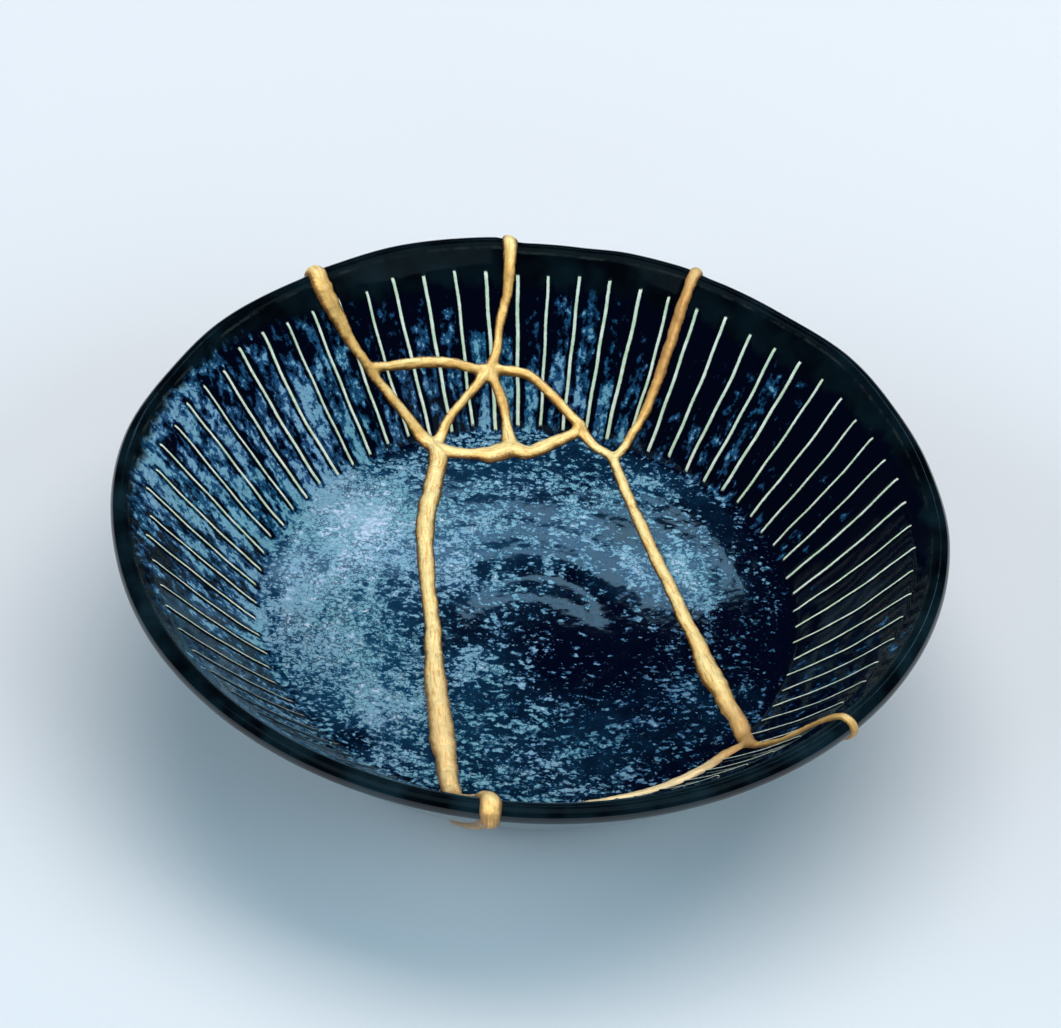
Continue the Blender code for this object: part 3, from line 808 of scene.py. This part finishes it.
def plug(material, shader, name, wire):
    """Feeds one of the shader's sockets."""
    material.node_tree.links.new(wire.socket, shader.inputs[name])


print("a wire knows:", [name for name in vars(Wire) if not name.startswith("_")])


# %% [markdown]
# The glaze is dark navy where it runs thick and breaks to pale blue where crystals formed in
# the kiln. First the finish has to know its place: in millimetres, in plan and around the
# axis. `on_wall` turns from 0 to 1 at the edge of the floor, and `drowned` marks the wall at
# the front left, where thick glaze lies over the stripes.

# %% Places in the glaze
glaze, shader, w = new_finish("kiln_glaze")
at_mm = w.vector("MULTIPLY", w.add("ShaderNodeTexCoord", None, 3), (1000, 1000, 1000))
flat = w.vector("MULTIPLY", at_mm, (1, 1, 0))
radius = w.vector("LENGTH", flat, output=1)
around = w.vector("NORMALIZE", flat)
skin_at = w.note("skin")
on_wall = skin_at.smooth(-46, -41)
drowned = flat.near(-38, -66, 14, 50)
print("the floor's edge, mm along the skin:", skin_distance(FLOOR_RADIUS, True).round(1))

# %% [markdown]
# Crystals gather where the kiln was hot and the glaze lay still. A list of soft blooms says how
# crowded each place is, and a bloom of fewer crystals keeps a place dark.

# %% How crowded the crystals are
BLOOMS = (
    # bearing, radius, reach in mm, more (or fewer) crystals
    (-54, 46, 22, 0.44), (-88, 42, 34, 0.26), (-118, 50, 28, 0.2), (-30, 34, 26, 0.16),
    (10, 22, 20, 0.05), (-5, 48, 16, 0.06), (-155, 38, 26, 0.07), (-160, 18, 14, 0.1),
    (64, 37, 17, 0.34), (22, 30, 12, 0.12), (30, 54, 9, 0.1), (76, 50, 11, 0.1),
    (-105, 15, 13, -0.12), (-45, 20, 16, 0.14), (-142, 53, 7, -0.2), (-149, 61, 9, 0.34),
    (-142, 43, 17, 0.16), (-123, 40, 20, 0.14), (-150, 72, 22, -0.22), (105, 20, 27, -0.25),
    (95, 46, 20, -0.07), (36, 34, 7, -0.16), (28, 47, 8, 0.2), (46, 48, 8, -0.14),
    (120, 48, 26, 0.02), (148, 16, 26, -0.12), (180, 44, 18, 0.02), (-75, 74, 44, 0.105),
    (-48, 68, 22, 0.14), (-122, 73, 28, -0.16), (-35, 17, 7, -0.16), (0, 14, 7, -0.16),
    (35, 17, 7, -0.16), (-56, 46, 17, 0.2), (-88, 86, 30, 0.16), (53, 76, 20, -0.26),
    (85, 76, 60, -0.36), (140, 76, 40, -0.32), (25, 84, 34, -0.34), (-10, 88, 30, -0.24),
    (-28, 84, 18, -0.2), (-48, 88, 20, -0.16), (14, 63, 14, 0.16), (-12, 66, 16, 0.06),
    (132, 41, 15, -0.09), (-70, 84, 14, 0.11),
)  # fmt: skip
crowd = 0
for b, r, reach, more in BLOOMS:
    crowd = flat.near(*plan(b, r), 0, reach) * more + crowd
print("blooms:", len(BLOOMS))

# %% [markdown]
# What breaks the glaze up differs on floor and wall. On the floor crystals curdle: the folds
# of a 2 mm noise with finer specks, drawn out by a swirl that follows the turning of the
# wheel. On the wall the glaze ran while it was molten, so flecks and clumps are stretched
# downhill. `crystal` is their sum, and it is 0 at the edge between dark glaze and pale.

# %% Flecks, clumps and swirl
wheel_at = w.vector("ADD", w.vector("MULTIPLY", around, (7, 7, 0)),
                    w.add("ShaderNodeCombineXYZ", None, Z=radius * 0.55))  # fmt: skip
downhill_at = w.vector("ADD", w.vector("MULTIPLY", around, (70, 70, 0)),
                       w.add("ShaderNodeCombineXYZ", None, Z=skin_at * 0.65))  # fmt: skip
fold_at = w.vector("MULTIPLY", at_mm, (0.8, 1.15, 1))
curd = w.math("ABSOLUTE", w.noise(fold_at, 2.1, 4, 0.58) - 0.5)
fleck_floor = (w.noise(at_mm, 1.2, 3, 0.64) - 0.5) * 0.40 + (curd - 0.075) * 1.9 + 0.5
fleck_wall = w.noise(downhill_at, 1.6, 3, 0.64)
fleck = fleck_floor + (fleck_wall - fleck_floor) * on_wall
clump_wall = w.noise(downhill_at, 5.5, 3, 0.6)
clump_floor = w.noise(at_mm, 3.6, 3, 0.6)
clump = clump_floor + (clump_wall - clump_floor) * on_wall
swirl = w.noise(wheel_at, 1.0, 3, 0.6) * 0.5 + w.noise(wheel_at, 2.6, 2, 0.5) * 0.8 - 0.65
swirl = swirl * radius.smooth(4, 16)
crystal = (fleck - 0.5) * (1.7 - on_wall * 0.5 + drowned * on_wall * 1.5)
crystal = crystal + (clump - 0.5) * (0.7 + on_wall * 0.4) + swirl * (1 - on_wall) * 1.3
crystal = crystal * (1 - crowd.smooth(0.15, 0.55) * 0.28) + crowd - 0.02
print("glaze nodes so far:", len(glaze.node_tree.nodes))

# %% [markdown]
# Glaze slides off a raised line and gathers beside it, more on one side than on the other.
# Such a pool is thick and dark, so it takes crystals away.

# %% Pools beside the stripes
off, side, run = w.note("stripe_off"), w.note("stripe_side"), w.note("stripe_run")
ragged = w.noise(at_mm, 0.9, 2, 0.6) - 0.5
pool_reach = side.smooth(-0.1, 0.1) * 0.75 + 0.35 + clump_wall * 0.9
pool = (1 - ((off - 0.5) / pool_reach).smooth(0.40, 1.0)) * (run + ragged * 4).smooth(-1.6, 0.4)
crystal = crystal - pool * 0.30 - on_wall * skin_at.smooth(-26, -8) * 0.07
print("glaze nodes so far:", len(glaze.node_tree.nodes))

# %% [markdown]
# The colour is laid in coats, each a mask and a tone. Deep navy comes first, then a blue haze
# where crystals crowd, the pale rim of each crystal, its bright middle, and a milky white
# where they run together. Dark squiggles and a few scattered dots come last. Toward the front
# right the crystals are thin, so their middles are muted.

# %% Coats of colour
NAVY_FLOOR, NAVY_WALL = (0.0001, 0.0011, 0.0095, 1), (0.0001, 0.0010, 0.0065, 1)
HAZE, MILK = (0.007, 0.050, 0.112, 1), (0.58, 0.71, 0.88, 1)
PALE = (0.015, 0.098, 0.205, 1), (0.022, 0.090, 0.212, 1)
BRIGHT = (0.182, 0.415, 0.510, 1), (0.232, 0.425, 0.570, 1)
VEIN, DOT = (0.008, 0.046, 0.094, 1), (0.16, 0.33, 0.47, 1)
tips = w.noise(at_mm, 1.0, 2, 0.6) - 0.5
pale = ((crystal + on_wall * 0.02) * (1 - on_wall * 0.4)).smooth(-0.07, 0.08)
muted = flat.near(46, -24, 14, 48)
bright = (crystal + tips * 0.6 - on_wall * 0.04).smooth(0.04, 0.15) * (1 - muted * 0.5)
milk = (crystal + tips * 0.8).smooth(0.36, 0.80)
haze = (crowd + clump * 0.3 - pool * 0.2 - on_wall * 0.40).smooth(-0.06, 0.50)
dots = w.noise(at_mm, 1.0, 2, 0.65).smooth(0.64, 0.72) * (crowd + swirl * 0.8).smooth(-0.36, -0.05)
fold = w.math("ABSOLUTE", w.noise(at_mm, 1.6, 3, 0.6) - 0.5)
veins = 1 - (fold + w.noise(at_mm, 9, 2, 0.5) * 0.12 - 0.06).smooth(0.008, 0.058)
veins = veins * pale * (1 - on_wall * 0.6) * (1 - crowd.smooth(0.50, 0.75) * 0.8)
hue = w.noise(flat, 22, 2, 0.5).smooth(0.35, 0.65)
body = haze.mix(on_wall.mix(NAVY_FLOOR, NAVY_WALL), HAZE)
body = pale.mix(body, hue.mix(*PALE))
body = bright.mix(body, hue.mix(*BRIGHT))
body = milk.mix(body, MILK)
body = (veins * 0.85).mix(body, VEIN)
body = (dots * (1 - on_wall) * 0.8).mix(body, DOT)
print("glaze nodes so far:", len(glaze.node_tree.nodes))

# %% [markdown]
# Over the stripes the glaze pulls thin and the white slip shows through, cream with a breath
# of green. Below the lip the glaze is plain and nearly black, with paler teal patches that are
# partly a painted sheen, and the outside is plain too, with a few paler runs. The lip itself is
# where a bowl wears: the glaze thins on the high edge in the kiln and leaves a brownish line,
# dark and broken.

# %% Slip, band and lip
SLIP = (0.66, 0.78, 0.53, 1), (0.93, 0.95, 0.77, 1)
# the band's second, paler tone is partly a painted sheen
BAND_AND_SHEEN = (0.0002, 0.0012, 0.0026, 1), (0.0060, 0.0190, 0.0270, 1)
OUTSIDE_RUN, WORN = (0.006, 0.022, 0.048, 1), (0.035, 0.045, 0.042, 1)
slip_line = (1 - (off + ragged * 0.22).smooth(0.36, 0.56)) * (run + ragged * 0.7).smooth(-0.12, 0.2)
slip_line = slip_line * (1 - drowned * 0.85)
far_side = w.vector("DISTANCE", flat, (12, 92, 0), output=1)
band_depth = (1 - far_side.smooth(50, 110)) * 7 + 3.2
band = (skin_at + band_depth + (clump_wall - 0.5) * 9 - pool * 1.6).smooth(-1.5, 1.5)
# painted sheen: paler patches in the band below the lip, mixed with the glaze's own tone
band_tone_and_sheen = w.noise(at_mm, 9, 2, 0.5).smooth(0.3, 0.8) * (0.5 + far_side.smooth(70, 170) * 0.5)
runs = skin_at.smooth(3, 12) * clump_wall.smooth(0.42, 0.75) * 0.8
worn = skin_at + ragged * 0.5
worn_line = worn.smooth(-2.5, -2.2) * (1 - worn.smooth(-1.9, -1.6))
worn_line = worn_line * w.noise(at_mm, 6, 3, 0.6).smooth(0.42, 0.62)
colour = band.mix(body, runs.mix(band_tone_and_sheen.mix(*BAND_AND_SHEEN), OUTSIDE_RUN))
colour = slip_line.mix(colour, w.noise(at_mm, 3.0, 2, 0.5).smooth(0.35, 0.65).mix(*SLIP))
colour = (worn_line * 0.4).mix(colour, WORN)
plug(glaze, shader, "Base Color", colour)
print("glaze nodes so far:", len(glaze.node_tree.nodes))

# %% [markdown]
# Fired glaze is glass, but never quite flat: a faint peel, a few microns deep, bends the
# reflections. Crystals, slip and the worn line are each a little duller.

# %% Gloss of the glaze
PEEL_DEPTH = 0.000004
shader.inputs["IOR"].default_value = 1.5
duller = on_wall * 0.04 + slip_line * 0.15 + worn_line * 0.3 + pale * 0.05
plug(glaze, shader, "Roughness", 0.03 + duller)
peel = w.noise(at_mm, 1.2, 2, 0.5) * 0.6 + w.noise(at_mm, 3.5, 1, 0.5) * 4 + pale * 0.3
bump = w.add("ShaderNodeBump", None, Height=peel, Distance=PEEL_DEPTH, Strength=0.8)
plug(glaze, shader, "Normal", bump)
print("nodes in the glaze:", len(glaze.node_tree.nodes))

# %% [markdown]
# Kintsugi gold is a powder dusted on tacky lacquer and burnished, so it is satin, between
# metal and paint. Its colour is painted lighter where the bead faces up, a painted highlight
# on the crown, and reddish brown where it faces down, a painted shade; thin edges are dark
# brown, partly the lacquer showing and partly painted contact shade. A brush leaves marks
# along the bead. `ENDS` lists places where the gold is made darker or paler; the dark patch
# on the right rim's bead is painted shade.

# %% The gold
PAINTED_SHADE_GOLD, POWDER, PAINTED_HIGHLIGHT_GOLD = (0.30, 0.120, 0.024, 1), (0.98, 0.610, 0.200, 1), (1.0, 0.84, 0.40, 1)
BRUSHED, BARE_EDGE_AND_SHADE, PITTED = (0.78, 0.42, 0.11, 1), (0.15, 0.058, 0.012, 1), (0.40, 0.21, 0.07, 1)
ENDS = (
    # x, y, full within, gone beyond in mm, strength, tone
    (-12, -58, 18, 52, 0.35, (0.80, 0.50, 0.23, 1)),
    (44, -34, 5, 16, 0.7, (0.58, 0.31, 0.10, 1)),
    (68, -54, 6, 24, 0.5, (0.50, 0.30, 0.10, 1)),
    (30, -54, 8, 22, 0.7, (1.0, 0.84, 0.52, 1)),
    # the dark patch on the right rim's bead is painted shade
    (29, 73, 4, 20, 0.65, (0.50, 0.22, 0.07, 1)),
)
gilt, shader, w = new_finish("gold_powder")
at_mm = w.vector("MULTIPLY", w.add("ShaderNodeTexCoord", None, 3), (1000, 1000, 1000))
flat = w.vector("MULTIPLY", at_mm, (1, 1, 0))
brush_at = w.add("ShaderNodeCombineXYZ", None, X=w.note("across"), Y=w.note("along") * 0.12,
                 Z=w.note("rise"))  # fmt: skip
brush = w.noise(brush_at, 0.45, 3, 0.6)
patch = w.noise(at_mm, 5, 3, 0.55)
grain = w.noise(at_mm, 0.6, 3, 0.65)
# painted highlight and painted shade: the gold is lighter where its surface faces up and darker where it
# faces down
painted_light_by_facing = w.add("ShaderNodeSeparateXYZ", None, 2, Vector=w.add("ShaderNodeNewGeometry", None, 1))
painted_light_by_facing = painted_light_by_facing + (patch - 0.5) * 0.7 + (grain - 0.5) * 0.3
tone = painted_light_by_facing.smooth(0.16, 0.70).mix(PAINTED_SHADE_GOLD, POWDER)
tone = painted_light_by_facing.smooth(0.60, 1.0).mix(tone, PAINTED_HIGHLIGHT_GOLD)
tone = (1 - brush.smooth(0.30, 0.52)).mix(tone, BRUSHED)
# thin edges turn dark brown: partly the lacquer showing through, partly painted contact shade
edge = 1 - (w.note("fullness") + (grain - 0.5) * 0.5).smooth(0.34, 0.84)
tone = (edge * 0.92).mix(tone, BARE_EDGE_AND_SHADE)
for x, y, full, gone, strength, end_tone in ENDS:
    tone = (flat.near(x, y, full, gone) * strength).mix(tone, end_tone)
pits = w.noise(at_mm, 1.1, 3, 0.6).smooth(0.66, 0.74)
plug(gilt, shader, "Base Color", (pits * 0.5).mix(tone, PITTED))
print("gold nodes so far:", len(gilt.node_tree.nodes))

# %% [markdown]
# Grain, brush marks and slow lumps go into a bump of a fifth of a millimetre, and part metal,
# part paint gives the satin look.

# %% Satin of the gold
GRAIN_DEPTH = 0.00020
shader.inputs["Metallic"].default_value = 0.4
plug(gilt, shader, "Roughness", 0.30 + grain * 0.16 + edge * 0.1)
height = grain + brush * 0.8 + w.noise(at_mm, 2.0, 2, 0.5) * 1.5 - pits * 0.5
bump = w.add("ShaderNodeBump", None, Height=height, Distance=GRAIN_DEPTH, Strength=0.7)
plug(gilt, shader, "Normal", bump)
print("nodes in the gold:", len(gilt.node_tree.nodes))

# %% [markdown]
# Each finished piece stands in for its plain one, takes the same material slot and rides on
# the frame's only body, because nothing here moves.

# %% Dress the pieces
for name, piece in shards.items():
    piece.data.materials.clear()
    piece.data.materials.append(glaze)
    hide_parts(name)
    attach(piece, "root")
gold.data.materials.append(gilt)
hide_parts("gold_seam")
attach(gold, "root")
print("pieces:", sorted([piece.name for piece in shards.values()] + [gold.name]))

# %% [markdown]
# The bowl stands on a pale sweep, a disc that curves up at its edge. Far out its colour is
# painted dark, a painted shade, so that the glossy glaze has less of it to mirror.

# %% Sweep
SWEEP_RADIUS, SWEEP_RISE, SWEEP_SIDES, SWEEP_STEPS = 4.0, 0.6, 96, 12
paper, shader, w = new_finish("pale_sweep")
spot = w.add("ShaderNodeTexCoord", None, 3)
paper_tone = w.noise(spot, 0.6, 2, 0.5).mix((0.80, 0.82, 0.845, 1), (0.82, 0.835, 0.855, 1))
from_bowl = w.vector("LENGTH", w.vector("MULTIPLY", spot, (1, 1, 0)), output=1)
# painted shade: the sweep's colour darkens away from the bowl
plug(paper, shader, "Base Color", from_bowl.smooth(0.35, 1.5).mix(paper_tone, (0.16, 0.17, 0.18, 1)))
shader.inputs["Roughness"].default_value = 0.9
shader.inputs["Specular IOR Level"].default_value = 0.1

flat_radius = SWEEP_RADIUS - SWEEP_RISE
rise_angles = [math.radians(90 * step / SWEEP_STEPS) for step in range(SWEEP_STEPS + 1)]
sweep_line = [(flat_radius + SWEEP_RISE * math.sin(a), SWEEP_RISE * (1 - math.cos(a))) for a in rise_angles]
turns = [2 * math.pi * i / SWEEP_SIDES for i in range(SWEEP_SIDES)]
bm = bmesh.new()
centre = bm.verts.new((0, 0, 0))
before = None
for r, z in sweep_line:
    ring = [bm.verts.new((r * math.cos(a), r * math.sin(a), z)) for a in turns]
    for i in range(SWEEP_SIDES):
        j = (i + 1) % SWEEP_SIDES
        corners = (before[i], ring[i], ring[j], before[j]) if before else (centre, ring[i], ring[j])
        bm.faces.new(corners)
    before = ring
sweep = add_bmesh("studio_sweep", bm)
sweep.data.shade_smooth()
sweep.data.materials.append(paper)
print("sweep faces:", len(sweep.data.polygons))

# %% [markdown]
# Dark glaze shows every lamp, so most lamps here light it without being mirrored. What it does
# mirror is one narrow slit, which draws a long pale crescent on the floor of the bowl, and a
# dim ceiling. The key behind and above gives the shadow, and bluish cards fill it.

# %% Lamps
ROOM_TINT, ROOM_LIGHT = (0.62, 0.86, 1.0, 1), 0.02
bpy.context.scene.view_settings.view_transform = "Standard"
world = bpy.data.worlds.new("room")
world.use_nodes = True
world.node_tree.nodes["Background"].inputs["Color"].default_value = ROOM_TINT
world.node_tree.nodes["Background"].inputs["Strength"].default_value = ROOM_LIGHT
bpy.context.scene.world = world


def panel(name, at, aim, size, radiance, tint, mirrored=True):
    """A flat soft light of a given brightness, whatever its size."""
    light = bpy.data.lights.new(name, "AREA")
    light.shape, (light.size, light.size_y) = "RECTANGLE", size
    light.energy, light.color = radiance * math.pi * size[0] * size[1], tint
    obj = bpy.data.objects.new(name, light)
    bpy.context.scene.collection.objects.link(obj)
    obj.location = at
    obj.rotation_euler = (Vector(aim) - Vector(at)).to_track_quat("-Z", "Y").to_euler()
    obj.visible_glossy = mirrored
    return obj


WINDOW_NEAR, WINDOW_FAR, WINDOW_Z = 1.522, 1.587, 1.6
window_y = (WINDOW_NEAR + WINDOW_FAR) / 2
panel("slit_window", (0.23, window_y, WINDOW_Z), (0.23, window_y, 0), (0.53, WINDOW_FAR - WINDOW_NEAR),
      3.6, (0.36, 0.70, 1.0))  # fmt: skip
KEY = (0.22, 0.55, 1.45), (0.15, 0.3, 0), (1.9, 1.0)
panel("overhead_key", *KEY, 2.75, (1.0, 0.86, 0.79), False)
panel("back_panel", (0.35, 1.0, 1.6), (0.35, 1.0, 0), (2.6, 1.1), 1.15, (0.76, 0.87, 1.0), False)
panel("ceiling_panel", (0.2, -0.45, 1.6), (0.2, -0.45, 0), (2.8, 1.5), 0.20, (0.55, 0.90, 1.0))
panel("left_card", (-1.7, -0.5, 0.85), (0, 0, 0), (2.0, 1.2), 3.6, (0.66, 0.86, 1.0), False)
panel("right_card", (1.8, -0.6, 1.0), (0, 0, 0), (1.8, 1.3), 3.3, (0.60, 0.84, 1.0), False)
panel("front_card", (0.0, -1.9, 0.5), (0, 0, 0), (2.6, 0.7), 1.9, (0.55, 0.85, 1.0), False)
print("lamps:", len(bpy.data.lights))

# %% [markdown]
# Gold wants more light than the glaze can bear, so two lamps are linked to the beads alone.
# The glaze is also kept from mirroring the gold, which would stain it with brown streaks.

# %% Lamps for the gold
beads_only = bpy.data.collections.new("lit_by_gold_lamps")
beads_only.objects.link(gold)
sheen = panel("gold_sheen", *KEY, 5.8, (1.0, 0.93, 0.84))
sheen.visible_diffuse = False
front_sheen = panel("gold_front", (-0.4, -1.1, 1.3), (0, 0, 0), (1.2, 0.8), 4.4, (1.0, 0.92, 0.80))
for lamp in (sheen, front_sheen):
    lamp.light_linking.receiver_collection = beads_only
gold.visible_glossy = False
print("lamps, with those for the gold:", len(bpy.data.lights))

# %% [markdown]
